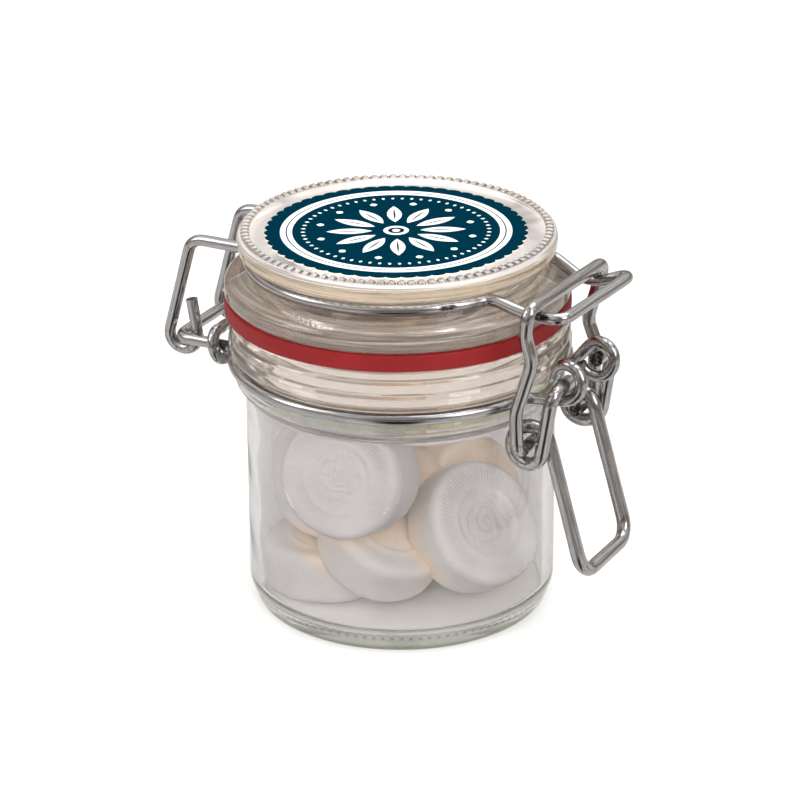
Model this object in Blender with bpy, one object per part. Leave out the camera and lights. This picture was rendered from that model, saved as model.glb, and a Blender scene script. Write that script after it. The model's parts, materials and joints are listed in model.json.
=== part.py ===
"""A small clip-top glass jar of large round mints, shut.

Metres, +Z up. The origin is on the jar's axis, in the plane it stands on. +X points to the
clasp, -X to the hinge. Each wire piece is made as two sides that meet in the XZ plane. The
sides are nearly mirror images: small skews, the bail's bends and the eyes differ.
"""

import math

import bmesh
import bpy
from mathutils import Matrix, Vector

MM = 0.001
GAP = 0.3 * MM

# Driving dimensions of the glass
BODY_RADIUS = 29.9 * MM
WALL = 2.2 * MM
BASE_THICKNESS = 3.6 * MM
HEEL_RADIUS = 4.0 * MM
INNER_HEEL_STEPS = 3
HEEL_STEPS = 4
SHOULDER_Z = 44.6 * MM
BEAD_RADIUS = 31.9 * MM
BEAD_RISE = 2.4 * MM
BEAD_HALF = 0.9 * MM
NECK_RADIUS = 33.1 * MM
NECK_WIRE_Z = 50.1 * MM
NECK_TOP_Z = 59.7 * MM
MOUTH_RADIUS = 25.6 * MM
LIP = 0.8 * MM
GROOVE_HALF = 0.9 * MM
LATHE_STEPS = 48

# Driving dimensions of the seal, lid and label. The lid sits slightly towards the hinge.
LID_SHIFT = -0.45 * MM
SEAL_RADIUS = 33.3 * MM
SEAL_HEIGHT = 2.8 * MM
SEAL_EDGE = 0.35 * MM
SEAL_INSET = 1.4 * MM
FLANGE_RADIUS = 33.2 * MM
FLANGE_HEIGHT = 3.7 * MM
LID_WIRE_Z = 70.1 * MM
LID_RADIUS = 30.6 * MM
LID_TOP_Z = 75.6 * MM
RIDGE_RADIUS = 29.2 * MM
RIDGE_HEIGHT = 0.7 * MM
RIDGE_STEPS = 4
LID_FACE_DROP = 0.5 * MM
LID_THICKNESS = 4.2 * MM
LID_HOLLOW_RADIUS = 23.0 * MM
PLUG_DEPTH = 2.0 * MM
PLUG_PLAY = 0.8 * MM
LABEL_RADIUS = 26.2 * MM
LABEL_THICKNESS = 0.25 * MM
SCALLOPS = 54
SCALLOP_DEPTH = 0.35 * MM
POINTS_A_SCALLOP = 3

# Wire diameters and the two rings that grip the glass
RING_WIRE = 2.3 * MM
BAIL_WIRE = 2.6 * MM
LEVER_WIRE = 2.7 * MM
LID_RING_RADIUS = 28.4 * MM
NECK_RING_RADIUS = 32.3 * MM
WIRE_BEVEL_RESOLUTION = 2
ARC_STEP = math.radians(7.5)
BEND_STEP = math.radians(30)
RUN_BEND = 3.0 * MM

# Hinge: the neck wire's bar, and the lid wire's legs that hook round it
HINGE_BAR_X = -42.8 * MM
HINGE_HALF = 12.0 * MM
HINGE_BEND = 2.6 * MM
LEG_HALF = 9.6 * MM
LEG_BEND = 3.2 * MM
LEG_TOP_X = -40.4 * MM
LEG_FOOT_X = -46.95 * MM
LEG_FOOT_Z = 46.7 * MM
STUB_FOOT_X = -39.1 * MM
STUB_TOP = (-40.8 * MM, 57.5 * MM)
CURL_X = -32.9 * MM
CURL_Z = 50.3 * MM
CURL_RADIUS = 2.9 * MM
CURL_SLANT = 0.25
CURL_TURN = (-40, -290)
CURL_STEPS = 10

# Clasp: the neck wire's eyes, the lever's loops, the bail and the lid wire's nose
EYE_X = 38.8 * MM
EYE_Z = 53.75 * MM
EYE_RADIUS = 3.25 * MM
EYE_HALF = 8.4 * MM
EYE_SIDEWAYS = 2.7 * MM
EYE_TILT = 0.3 * MM
NEAR_EYE_TURN = (178, -90)
NEAR_EYE_STEPS = 12
FAR_EYE_TURN = (-165, 140)
FAR_EYE_STEPS = 14
FAR_RUN_END = (33.1 * MM, NECK_WIRE_Z + 1.4 * MM)
LOOP_X = 33.3 * MM
LOOP_Z = 41.65 * MM
LOOP_TILT = 0.4 * MM
LOOP_RADIUS = 3.5 * MM
LOOP_OUTER = 13.4 * MM
LOOP_START = -12
LOOP_END = -344
LOOP_SIDEWAYS = 3.3 * MM
LOOP_STEPS = 16
PIN_END = 5.8 * MM
PIN_BEND = 2.5 * MM
HANDLE_X = 44.1 * MM
HANDLE_Z = 16.5 * MM
HANDLE_BEND = 4.0 * MM
BAIL_HALF = 16.7 * MM
BAIL_BAR_X = 35.4 * MM
BAIL_BAR_Z = 70.35 * MM
BAIL_BAR_TILT = 0.85 * MM
BAIL_BEND = 3.4 * MM
HOOK_END = 8.7 * MM
NEAR_BAIL_BENDS = [(33.0, 50.5, 8.0), (36.3, 61.0, 4.0), (34.8, 66.0, 4.0)]
FAR_BAIL_BENDS = [(33.6, 53.0, 4.0), (31.9, 57.0, 4.0)]
NOSE_HALF = 12.6 * MM
NOSE_X = 41.9 * MM
NOSE_Z = 69.2 * MM
NOSE_SKEW = 1.5 * MM
NOSE_TILT = 0.6 * MM
SADDLE_BEND = 6.0 * MM

# Mints
MINT_RADIUS = 12.4 * MM
MINT_HALF = 5.2 * MM
MINT_FLAT = 0.78
MINT_SIDES = 24
CORE_SIZE = (9.0 * MM, 9.0 * MM, 12.0 * MM)
CORE_Z = 20.0 * MM


def clear_scene():
    for obj in list(bpy.data.objects):
        bpy.data.objects.remove(obj, do_unlink=True)


def material(name, colour, roughness, metallic=0.0, transmission=0.0):
    made = bpy.data.materials.new(name)
    made.use_nodes = True
    shader = made.node_tree.nodes["Principled BSDF"]
    shader.inputs["Base Color"].default_value = (*colour, 1.0)
    shader.inputs["Roughness"].default_value = roughness
    shader.inputs["Metallic"].default_value = metallic
    shader.inputs["Transmission Weight"].default_value = transmission
    return made


def add_object(name, data, finish):
    obj = bpy.data.objects.new(name, data)
    bpy.context.scene.collection.objects.link(obj)
    data.materials.append(finish)
    return obj


def shade_round(mesh):
    mesh.shade_smooth()
    mesh.set_sharp_from_angle(angle=math.radians(35))


def arc_points(centre, radius, start, end, count):
    """Points on an arc in a plane, from one angle to another, both ends included."""
    turn = [start + (end - start) * i / count for i in range(count + 1)]
    return [(centre[0] + radius * math.cos(a), centre[1] + radius * math.sin(a)) for a in turn]


def turned(name, profile, finish, closed, centre_x=0.0, steps=LATHE_STEPS):
    """A profile of (radius, z) turned about a vertical axis. It runs down the outer side."""
    mesh = bpy.data.meshes.new(name)
    corners = [(r, 0.0, z) for r, z in profile]
    edges = [(i, i + 1) for i in range(len(corners) - 1)]
    if closed:
        edges.append((len(corners) - 1, 0))
    mesh.from_pydata(corners, edges, [])
    obj = add_object(name, mesh, finish)
    obj.location.x = centre_x
    screw = obj.modifiers.new("Turn", "SCREW")
    screw.steps = steps
    screw.render_steps = steps
    screw.use_merge_vertices = True
    screw.merge_threshold = 0.00001
    screw.use_smooth_shade = True
    return obj


def rounded(corners, bend_step=BEND_STEP):
    """A polyline with its corners rounded. Each corner is (point, bend radius)."""
    points = [Vector(corners[0][0])]
    for i in range(1, len(corners) - 1):
        before = Vector(corners[i - 1][0])
        here = Vector(corners[i][0])
        after = Vector(corners[i + 1][0])
        radius = corners[i][1]
        into = (here - before).normalized()
        out = (after - here).normalized()
        angle = into.angle(out)
        setback = radius * math.tan(angle / 2)
        start = here - into * setback
        inward = (out - into * into.dot(out)).normalized()
        centre = start + inward * radius
        count = max(1, round(angle / bend_step))
        for k in range(count + 1):
            turn = angle * k / count
            points.append(centre + (into * math.sin(turn) - inward * math.cos(turn)) * radius)
    points.append(Vector(corners[-1][0]))
    return points


def wire(name, points, diameter, finish):
    """A round wire with flat cut ends along the points."""
    curve = bpy.data.curves.new(name, "CURVE")
    curve.dimensions = "3D"
    curve.bevel_depth = diameter / 2
    curve.bevel_resolution = WIRE_BEVEL_RESOLUTION
    curve.use_fill_caps = True
    spline = curve.splines.new("POLY")
    spline.points.add(len(points) - 1)
    for slot, point in zip(spline.points, points):
        slot.co = (*point, 1.0)
    return add_object(name, curve, finish)


def on_side(points, side):
    """Points worked out for the -Y side, moved to the side asked for: -1 or 1."""
    return [Vector((p.x, -side * p.y, p.z)) for p in points]


def spaced(points, least=0.5 * MM):
    """The points without any that lie closer than this to the one before."""
    kept = [points[0]]
    for point in points[1:]:
        if (point - kept[-1]).length > least:
            kept.append(point)
    return kept


def ring_side(radius, hinge_half, clasp_half, bend, z, centre_x=0.0):
    """The -Y side of a wire ring, from the run at the hinge to the run at the clasp.

    At both ends the ring bends outwards, round a circle that touches the ring and the
    straight run beside the XZ plane.
    """
    hinge_x = math.sqrt((radius + bend) ** 2 - (hinge_half + bend) ** 2)
    clasp_x = math.sqrt((radius + bend) ** 2 - (clasp_half + bend) ** 2)
    hinge_angle = math.atan2(-hinge_half - bend, -hinge_x)
    clasp_angle = math.atan2(-clasp_half - bend, clasp_x)
    quarter = math.pi / 2
    bend_count = max(2, round((quarter - abs(clasp_angle)) / BEND_STEP))
    ring_count = round((clasp_angle - hinge_angle) / ARC_STEP)
    flat = arc_points((-hinge_x, -hinge_half - bend), bend, quarter, hinge_angle + math.pi, bend_count)
    flat += arc_points((0, 0), radius, hinge_angle, clasp_angle, ring_count)[1:-1]
    flat += arc_points((clasp_x, -clasp_half - bend), bend, clasp_angle + math.pi, quarter, bend_count)
    return [Vector((centre_x + x, y, z)) for x, y in flat]


def jar_profile():
    inner = BODY_RADIUS - WALL
    groove = NECK_RING_RADIUS - RING_WIRE / 2 - GAP
    bead_z = SHOULDER_Z + BEAD_RISE
    heel = (BODY_RADIUS - HEEL_RADIUS, HEEL_RADIUS)
    inner_heel = (inner - HEEL_RADIUS, BASE_THICKNESS + HEEL_RADIUS)
    profile = [(0.0, BASE_THICKNESS)]
    profile += arc_points(inner_heel, HEEL_RADIUS, -math.pi / 2, 0.0, INNER_HEEL_STEPS)
    profile += [
        (inner, SHOULDER_Z + 1.0 * MM),
        (inner - 0.4 * MM, NECK_WIRE_Z - 1.5 * MM),
        (MOUTH_RADIUS + 0.6 * MM, NECK_WIRE_Z + 3.0 * MM),
        (MOUTH_RADIUS, NECK_TOP_Z - LIP),
        (MOUTH_RADIUS + LIP, NECK_TOP_Z),
        (NECK_RADIUS - 1.0 * MM, NECK_TOP_Z),
        (NECK_RADIUS - 0.4 * MM, NECK_TOP_Z - LIP),
        (NECK_RADIUS - 0.5 * MM, NECK_TOP_Z - 2.6 * MM),
        (NECK_RADIUS - 0.1 * MM, NECK_TOP_Z - 4.4 * MM),
        (NECK_RADIUS, NECK_WIRE_Z + 3.0 * MM),
        (NECK_RADIUS - 0.5 * MM, NECK_WIRE_Z + 1.7 * MM),
        (groove, NECK_WIRE_Z + GROOVE_HALF),
        (groove, NECK_WIRE_Z - GROOVE_HALF),
        (BEAD_RADIUS - 0.5 * MM, bead_z + BEAD_HALF),
        (BEAD_RADIUS, bead_z),
        (BEAD_RADIUS - 0.3 * MM, bead_z - BEAD_HALF),
        (BODY_RADIUS, SHOULDER_Z),
    ]
    profile += arc_points(heel, HEEL_RADIUS, 0.0, -math.pi / 2, HEEL_STEPS)
    profile.append((0.0, 0.0))
    return profile


def seal_profile():
    bottom = NECK_TOP_Z + GAP
    top = bottom + SEAL_HEIGHT
    inner = MOUTH_RADIUS + SEAL_INSET
    return [
        (inner, top),
        (SEAL_RADIUS - SEAL_EDGE, top),
        (SEAL_RADIUS, top - SEAL_EDGE),
        (SEAL_RADIUS, bottom + SEAL_EDGE),
        (SEAL_RADIUS - SEAL_EDGE, bottom),
        (inner, bottom),
    ]


def lid_profile():
    bottom = NECK_TOP_Z + GAP + SEAL_HEIGHT + GAP
    flange_top = bottom + FLANGE_HEIGHT
    groove = LID_RING_RADIUS - RING_WIRE / 2 - GAP
    under = LID_TOP_Z - LID_THICKNESS
    plug = MOUTH_RADIUS - PLUG_PLAY
    plug_bottom = bottom - PLUG_DEPTH
    ridge = arc_points((RIDGE_RADIUS, LID_TOP_Z), RIDGE_HEIGHT, math.pi, 0.0, RIDGE_STEPS)
    return [
        (0.0, under),
        (LID_HOLLOW_RADIUS - 3.0 * MM, under),
        (LID_HOLLOW_RADIUS - 0.5 * MM, under - 2.0 * MM),
        (LID_HOLLOW_RADIUS, plug_bottom),
        (plug - 0.4 * MM, plug_bottom),
        (plug, bottom - 1.2 * MM),
        (plug + 0.4 * MM, bottom),
        (FLANGE_RADIUS - 0.7 * MM, bottom),
        (FLANGE_RADIUS, bottom + 0.7 * MM),
        (FLANGE_RADIUS, flange_top - 0.9 * MM),
        (FLANGE_RADIUS - 0.9 * MM, flange_top),
        (groove + 1.8 * MM, LID_WIRE_Z - 1.9 * MM),
        (groove, LID_WIRE_Z - 1.0 * MM),
        (groove, LID_WIRE_Z + 1.1 * MM),
        (LID_RADIUS - 1.0 * MM, LID_WIRE_Z + 1.9 * MM),
        (LID_RADIUS, LID_WIRE_Z + 3.0 * MM),
        (LID_RADIUS, LID_TOP_Z - 1.2 * MM),
        (LID_RADIUS - 0.5 * MM, LID_TOP_Z - 0.2 * MM),
        *reversed(ridge),
        (RIDGE_RADIUS - 1.6 * MM, LID_TOP_Z - LID_FACE_DROP),
        (0.0, LID_TOP_Z - LID_FACE_DROP),
    ][::-1]


def make_label(finish):
    """A thin round label with a scalloped edge, on the lid's top."""
    bm = bmesh.new()
    count = SCALLOPS * POINTS_A_SCALLOP
    rim = []
    for i in range(count):
        angle = 2 * math.pi * i / count
        bulge = abs(math.sin(math.pi * i / POINTS_A_SCALLOP))
        radius = LABEL_RADIUS - SCALLOP_DEPTH * (1.0 - bulge)
        rim.append(bm.verts.new((radius * math.cos(angle), radius * math.sin(angle), 0.0)))
    face = bm.faces.new(rim)
    raised = bmesh.ops.extrude_face_region(bm, geom=[face])
    top = [item for item in raised["geom"] if isinstance(item, bmesh.types.BMVert)]
    bmesh.ops.translate(bm, verts=top, vec=(0, 0, LABEL_THICKNESS))
    bmesh.ops.recalc_face_normals(bm, faces=bm.faces)
    mesh = bpy.data.meshes.new("label")
    bm.to_mesh(mesh)
    bm.free()
    obj = add_object("label", mesh, finish)
    obj.location = (0.0, 0.0, LID_TOP_Z - LID_FACE_DROP + GAP)
    return obj


def lid_wire_side(side):
    """From the hooked foot of a leg, round the lid to the middle of the nose."""
    def on_leg(x, z):
        return (x, -LEG_HALF, z)

    leg = rounded([
        (on_leg(*STUB_TOP), 0.0),
        (on_leg(STUB_FOOT_X, LEG_FOOT_Z), LEG_BEND),
        (on_leg(LEG_FOOT_X, LEG_FOOT_Z), LEG_BEND),
        (on_leg(LEG_TOP_X, LID_WIRE_Z), LEG_BEND),
        (on_leg(-LID_RING_RADIUS, LID_WIRE_Z), 0.0),
    ])[:-1]
    ring = ring_side(LID_RING_RADIUS, LEG_HALF, NOSE_HALF, RUN_BEND, LID_WIRE_Z, LID_SHIFT)
    bail_z = BAIL_BAR_Z - side * BAIL_BAR_TILT
    saddle_z = bail_z - (BAIL_WIRE + RING_WIRE) / 2 - GAP
    nose = rounded([
        ((ring[-1].x, -NOSE_HALF, LID_WIRE_Z), 0.0),
        ((BAIL_BAR_X - 3.6 * MM, -NOSE_HALF, saddle_z + 0.4 * MM), SADDLE_BEND),
        ((BAIL_BAR_X + 0.4 * MM, -NOSE_HALF, saddle_z), SADDLE_BEND),
        ((NOSE_X + side * NOSE_SKEW, -NOSE_HALF, NOSE_Z + side * NOSE_TILT), LEG_BEND),
        ((NOSE_X, 0.0, NOSE_Z), 0.0),
    ])[1:]
    return on_side(leg + ring + nose, side)


def eye_points(side, start, end, count):
    """An eye of the neck wire, from its cut end to the run. The angles are in degrees."""
    points = []
    for i in range(count + 1):
        share = i / count
        angle = math.radians(start + (end - start) * share)
        points.append(Vector((
            EYE_X + EYE_RADIUS * math.cos(angle),
            side * (EYE_HALF - EYE_SIDEWAYS * (1.0 - share)),
            EYE_Z - side * EYE_TILT + EYE_RADIUS * math.sin(angle),
        )))
    return points


def neck_wire_side(side):
    """From the cut end of an eye, round the neck to the middle of the hinge bar."""
    ring = ring_side(NECK_RING_RADIUS, HINGE_HALF, EYE_HALF, RUN_BEND, NECK_WIRE_Z)
    hinge = rounded([
        ((ring[0].x, -HINGE_HALF, NECK_WIRE_Z), 0.0),
        ((HINGE_BAR_X, -HINGE_HALF, NECK_WIRE_Z), HINGE_BEND),
        ((HINGE_BAR_X, 0.0, NECK_WIRE_Z), 0.0),
    ])[1:]
    if side < 0:
        eye = eye_points(side, *NEAR_EYE_TURN, NEAR_EYE_STEPS)
        run = ring[::-1]
    else:
        eye = eye_points(side, *FAR_EYE_TURN, FAR_EYE_STEPS)
        run = [Vector((FAR_RUN_END[0], -EYE_HALF, FAR_RUN_END[1]))] + ring[-2::-1]
    return eye + on_side(run + hinge, side)


def back_wire_side(side):
    """From the end under a hinge run, round it and over it, to behind the neck."""
    behind_x = -(NECK_RADIUS + RING_WIRE / 2 + GAP)
    turn = [math.radians(degrees) for degrees in CURL_TURN]
    curl = arc_points((-HINGE_HALF, CURL_Z), CURL_RADIUS, *turn, CURL_STEPS)
    points = [Vector((CURL_X + 0.3 * MM, -HINGE_HALF + 3.4 * MM, NECK_WIRE_Z - 3.2 * MM))]
    points += [Vector((CURL_X - CURL_SLANT * (z - NECK_WIRE_Z), y, z)) for y, z in curl]
    points += [
        Vector((behind_x - 0.3 * MM, -HINGE_HALF + 4.5 * MM, NECK_WIRE_Z + 2.2 * MM)),
        Vector((behind_x, -HINGE_HALF + 8.5 * MM, NECK_WIRE_Z + 1.7 * MM)),
    ]
    return on_side(points, side)


def lever_side(side):
    """From the pin in an eye, round the loop and down to the middle of the handle."""
    loop = []
    for i in range(LOOP_STEPS + 1):
        share = i / LOOP_STEPS
        angle = math.radians(LOOP_START + (LOOP_END - LOOP_START) * share)
        loop.append(Vector((
            LOOP_X + LOOP_RADIUS * math.cos(angle),
            -LOOP_OUTER + LOOP_SIDEWAYS * share,
            LOOP_Z - side * LOOP_TILT + LOOP_RADIUS * math.sin(angle),
        )))
    pin = rounded([
        ((EYE_X, -PIN_END, EYE_Z), 0.0),
        ((EYE_X, -LOOP_OUTER, EYE_Z), PIN_BEND),
        (loop[0], 0.0),
    ])[:-1]
    handle = rounded([
        (loop[-1], 0.0),
        ((HANDLE_X, loop[-1].y, HANDLE_Z), HANDLE_BEND),
        ((HANDLE_X, 0.0, HANDLE_Z), 0.0),
    ])[1:]
    return on_side(pin + loop + handle, side)


def bail_side(side, bends):
    """One side of the bail, from its hook to its bar. Bends are (x, z, bend radius)."""
    hook_z = LOOP_Z - side * LOOP_TILT
    corners = [
        ((LOOP_X, -HOOK_END, hook_z), 0.0),
        ((LOOP_X, -BAIL_HALF, hook_z), PIN_BEND),
    ]
    corners += [((x * MM, -BAIL_HALF, z * MM), radius * MM) for x, z, radius in bends]
    corners += [
        ((BAIL_BAR_X, -BAIL_HALF, BAIL_BAR_Z - side * BAIL_BAR_TILT), BAIL_BEND),
        ((BAIL_BAR_X, 0.0, BAIL_BAR_Z), 0.0),
    ]
    return on_side(rounded(corners), side)


def joined(near, far):
    """One line from two that both end in the middle."""
    return spaced(near + far[::-1])


def mint_mesh(name):
    """A pressed mint: a thick disc with rounded edges."""
    profile = [
        (0.0, MINT_HALF),
        (MINT_RADIUS * MINT_FLAT, MINT_HALF),
        (MINT_RADIUS * 0.95, MINT_HALF * 0.72),
        (MINT_RADIUS, MINT_HALF * 0.25),
    ]
    profile += [(radius, -z) for radius, z in profile[::-1]]
    bm = bmesh.new()
    corners = [bm.verts.new((r, 0.0, z)) for r, z in profile]
    edges = [bm.edges.new(pair) for pair in zip(corners, corners[1:])]
    bmesh.ops.spin(
        bm, geom=corners + edges, axis=(0, 0, 1), cent=(0, 0, 0),
        steps=MINT_SIDES, angle=2 * math.pi, use_merge=True,
    )
    bmesh.ops.remove_doubles(bm, verts=bm.verts, dist=0.00001)
    bmesh.ops.recalc_face_normals(bm, faces=bm.faces)
    mesh = bpy.data.meshes.new(name)
    bm.to_mesh(mesh)
    bm.free()
    return mesh


def mint_places():
    """(place, direction of the flat faces) of each mint, in the jar's frame."""
    return [
        (polar(-90, 20.1, 33.0), facing(-90, 12)),
        (polar(-12, 17.5, 18.6), facing(-21, 32)),
        (polar(-79, 12.0, 16.3), facing(-17, 56)),
        (polar(-138, 14.7, 9.4), facing(-81, 88)),
        (polar(-139, 13.8, 26.5), facing(-95, 8)),
        (polar(134, 16.1, 17.3), facing(-68, 14)),
        (polar(59, 14.8, 16.6), facing(-21, 20)),
    ]


def polar(degrees, radius, height):
    """A place in the jar, from its direction seen from above and millimetres."""
    angle = math.radians(degrees)
    return Vector((radius * math.cos(angle), radius * math.sin(angle), height)) * MM


def facing(degrees, tilt):
    """A direction from its heading seen from above and its angle above the horizontal."""
    angle = math.radians(degrees)
    rise = math.radians(tilt)
    return Vector((math.cos(rise) * math.cos(angle), math.cos(rise) * math.sin(angle), math.sin(rise)))


def make_mints(finish):
    """The mints that show, fused with a core, as one solid."""
    mesh = mint_mesh("mint")
    group = bpy.data.collections.new("mint pieces")
    bpy.context.scene.collection.children.link(group)
    for place, direction in mint_places():
        piece = bpy.data.objects.new("mint piece", mesh)
        piece.matrix_world = (
            Matrix.Translation(place) @ direction.to_track_quat("Z", "Y").to_matrix().to_4x4()
        )
        group.objects.link(piece)
    core_mesh = bpy.data.meshes.new("mints")
    bm = bmesh.new()
    bmesh.ops.create_icosphere(bm, subdivisions=2, radius=1.0)
    bmesh.ops.scale(bm, vec=CORE_SIZE, verts=bm.verts)
    bmesh.ops.translate(bm, vec=(0, 0, CORE_Z), verts=bm.verts)
    bm.to_mesh(core_mesh)
    bm.free()
    obj = add_object("mints", core_mesh, finish)
    join = obj.modifiers.new("Join", "BOOLEAN")
    join.operation = "UNION"
    join.operand_type = "COLLECTION"
    join.collection = group
    join.solver = "EXACT"
    bpy.context.view_layer.update()
    graph = bpy.context.evaluated_depsgraph_get()
    joined = bpy.data.meshes.new_from_object(obj.evaluated_get(graph))
    obj.modifiers.clear()
    obj.data = joined
    obj.data.name = "mints"
    for piece in list(group.objects):
        bpy.data.objects.remove(piece, do_unlink=True)
    bpy.data.collections.remove(group)
    shade_round(obj.data)
    return obj


def main():
    clear_scene()
    glass = material("glass", (0.82, 0.86, 0.84), 0.03, transmission=0.9)
    rubber = material("rubber", (0.45, 0.03, 0.03), 0.6)
    steel = material("steel", (0.55, 0.55, 0.56), 0.3, metallic=1.0)
    paper = material("paper", (0.0, 0.04, 0.08), 0.5)
    sugar = material("sugar", (0.86, 0.84, 0.82), 0.7)

    turned("jar", jar_profile(), glass, closed=False)
    turned("seal", seal_profile(), rubber, closed=True, centre_x=LID_SHIFT)
    turned("lid", lid_profile(), glass, closed=False, centre_x=LID_SHIFT)
    make_label(paper)
    wire("lid_wire", joined(lid_wire_side(-1), lid_wire_side(1)), RING_WIRE, steel)
    wire("neck_wire", joined(neck_wire_side(-1), neck_wire_side(1)), RING_WIRE, steel)
    wire("back_wire", joined(back_wire_side(-1), back_wire_side(1)), RING_WIRE, steel)
    wire("lever", joined(lever_side(-1), lever_side(1)), LEVER_WIRE, steel)
    bail = joined(bail_side(-1, NEAR_BAIL_BENDS), bail_side(1, FAR_BAIL_BENDS))
    wire("bail", bail, BAIL_WIRE, steel)
    make_mints(sugar)


main()
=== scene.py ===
"""The looks of a small clip-top glass jar of large white mints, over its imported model.

Lengths are in metres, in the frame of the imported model: +Z up along the jar's axis, +X to
the clasp, -X to the hinge. Angles are in degrees where a name says so, otherwise radians.
"""

import json
import math
import random

import bmesh
import bpy
import numpy as np
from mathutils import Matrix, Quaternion, Vector, noise

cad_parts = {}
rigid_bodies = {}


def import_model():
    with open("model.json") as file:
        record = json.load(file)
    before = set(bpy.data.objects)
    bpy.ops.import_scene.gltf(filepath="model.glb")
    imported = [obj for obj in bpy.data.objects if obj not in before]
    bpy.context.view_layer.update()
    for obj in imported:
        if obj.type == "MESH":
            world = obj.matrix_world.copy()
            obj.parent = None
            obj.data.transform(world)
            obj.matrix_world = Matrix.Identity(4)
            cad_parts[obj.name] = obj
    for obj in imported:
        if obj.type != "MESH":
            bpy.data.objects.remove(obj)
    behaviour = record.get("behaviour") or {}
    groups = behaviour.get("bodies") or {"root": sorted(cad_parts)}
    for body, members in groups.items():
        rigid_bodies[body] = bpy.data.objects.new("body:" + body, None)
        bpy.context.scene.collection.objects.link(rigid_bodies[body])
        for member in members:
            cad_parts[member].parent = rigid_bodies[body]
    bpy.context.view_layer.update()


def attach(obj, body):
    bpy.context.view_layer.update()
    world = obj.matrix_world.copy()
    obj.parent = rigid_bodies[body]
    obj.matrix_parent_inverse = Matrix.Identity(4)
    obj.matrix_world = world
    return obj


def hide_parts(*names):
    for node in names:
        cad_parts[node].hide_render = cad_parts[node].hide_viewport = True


MM = 0.001

# Glass of the jar
BODY_RADIUS = 29.9 * MM
WALL = 2.2 * MM
BASE_THICKNESS = 3.6 * MM
HEEL_RADIUS = 4.0 * MM
SHOULDER_Z = 44.6 * MM
BEAD_RISE = 2.1 * MM
BEAD_RADIUS = 31.9 * MM
NECK_RADIUS = 33.1 * MM
NECK_WIRE_Z = 50.1 * MM
NECK_TOP_Z = 59.7 * MM
MOUTH_RADIUS = 25.6 * MM
GROOVE_PLAY = 0.05 * MM
HEEL_BEADS = 104
HEEL_BEAD_STEPS = 5
HEEL_BEAD_Z = 3.3 * MM
HEEL_BEAD_SPREAD = 0.7 * MM
HEEL_BEAD_HEIGHT = 0.09 * MM

# Seal, lid and label. The lid sits slightly towards the hinge.
LID_SHIFT = -0.45 * MM
SEAL_RADIUS = 33.3 * MM
SEAL_BOTTOM_Z = NECK_TOP_Z + 0.05 * MM
SEAL_TOP_Z = 63.03 * MM
SEAL_INSET = 1.4 * MM
SEAL_STEPS = 240
FLANGE_RADIUS = 33.2 * MM
LID_BOTTOM_Z = 63.1 * MM
FLANGE_HEIGHT = 3.7 * MM
LID_WIRE_Z = 70.1 * MM
LID_RADIUS = 30.6 * MM
LID_TOP_Z = 75.6 * MM
LID_THICKNESS = 4.2 * MM
PLUG_PLAY = 0.8 * MM
PLUG_DEPTH = 2.0 * MM
RIDGE_RADIUS = 29.05 * MM
RIDGE_HEIGHT = 0.7 * MM
RIDGE_BEADS = 98
RIDGE_BEAD_STEPS = 7
LID_HOLLOW_RADIUS = 23.0 * MM
LABEL_RADIUS = 25.05 * MM
LABEL_CENTRE = (-0.1 * MM, -1.1 * MM)
LABEL_BOTTOM_Z = 75.4 * MM
LABEL_THICKNESS = 0.25 * MM
LABEL_SINK = 0.02 * MM
SCALLOPS = 54
SCALLOP_DEPTH = 0.6 * MM
POINTS_A_SCALLOP = 12
PRINT_UNIT = 0.95 * MM

# Wires
RING_WIRE = 2.3 * MM
BAIL_WIRE = 2.6 * MM
LEVER_WIRE = 2.7 * MM
LID_RING_RADIUS = 28.4 * MM
NECK_RING_RADIUS = 32.3 * MM
TUBE_SIDES = 22
TUBE_STEP = 0.45 * MM
TUBE_SMOOTHING = 3
ARC_STEP = math.radians(3)
BEND_STEP = math.radians(9)
RUN_BEND = 3.0 * MM
GAP = 0.3 * MM

# Hinge
HINGE_BAR_X = -42.8 * MM
HINGE_HALF = 12.0 * MM
HINGE_BEND = 2.6 * MM
LEG_HALF = 9.6 * MM
LEG_BEND = 3.2 * MM
LEG_TOP_X = -40.4 * MM
LEG_FOOT_X = -46.95 * MM
LEG_FOOT_Z = 46.7 * MM
STUB_FOOT_X = -39.1 * MM
STUB_TOP = (-40.8 * MM, 57.5 * MM)
CURL_X = -32.9 * MM
CURL_Z = 50.3 * MM
CURL_RADIUS = 2.9 * MM
CURL_SLANT = 0.25
CURL_TURN = (-40, -290)
CURL_STEPS = 30

# Clasp. Turns are in degrees. Bends of the bail are (x, z, bend radius) in millimetres.
EYE_X = 38.8 * MM
EYE_Z = 53.75 * MM
EYE_RADIUS = 3.25 * MM
EYE_HALF = 8.4 * MM
EYE_SIDEWAYS = 2.7 * MM
EYE_TILT = 0.3 * MM
NEAR_EYE_TURN = (178, -90)
NEAR_EYE_STEPS = 36
FAR_EYE_TURN = (-165, 140)
FAR_EYE_STEPS = 42
FAR_RUN_END = (33.1 * MM, NECK_WIRE_Z + 1.4 * MM)
LOOP_X = 33.3 * MM
LOOP_Z = 41.65 * MM
LOOP_TILT = 0.4 * MM
LOOP_RADIUS = 3.5 * MM
LOOP_OUTER = 13.4 * MM
LOOP_TURN = (-12, -344)
LOOP_STEPS = 48
LOOP_SIDEWAYS = 3.3 * MM
PIN_END = 5.8 * MM
PIN_BEND = 2.5 * MM
HANDLE_X = 44.1 * MM
HANDLE_Z = 16.5 * MM
HANDLE_BEND = 4.0 * MM
BAIL_HALF = 16.7 * MM
BAIL_BAR_X = 35.4 * MM
BAIL_BAR_Z = 70.35 * MM
BAIL_BAR_TILT = 0.85 * MM
BAIL_BEND = 3.4 * MM
NEAR_BAIL_BENDS = ((33.0, 50.5, 8.0), (36.3, 61.0, 4.0), (34.8, 66.0, 4.0))
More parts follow.
